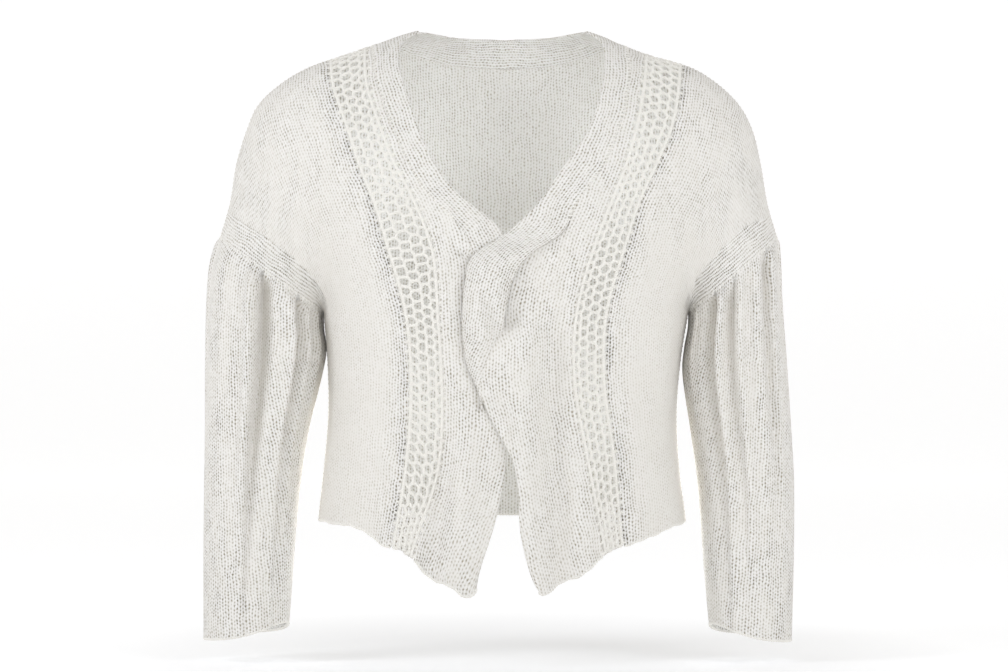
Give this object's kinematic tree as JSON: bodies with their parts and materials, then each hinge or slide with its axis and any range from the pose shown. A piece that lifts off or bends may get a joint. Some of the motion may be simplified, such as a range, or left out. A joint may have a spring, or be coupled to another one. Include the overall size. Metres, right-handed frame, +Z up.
{
  "type": "open-knit cardigan",
  "caption": "Cropped open-front knit cardigan in worn form: V neck with band, openwork strips, a twist at the middle front, gathered dropped sleeves.",
  "frame": {"origin": "where the wearer's shoulders hold it: the middle between the shoulders, level with them beside the neck", "axes": "+X to the wearer's left, -Y out of the front, +Z up"},
  "size_m": [0.6003, 0.241, 0.6179],
  "materials": {
    "knit": "matte knitted linen and cotton yarn",
    "band": "matte knitted linen and cotton yarn, denser"
  },
  "bodies": {
    "root": {"back": "knit", "front_right": "knit", "front_left": "knit", "neckband": "band", "sleeve_right": "knit", "sleeve_left": "knit"}
  },
  "joints": []
}
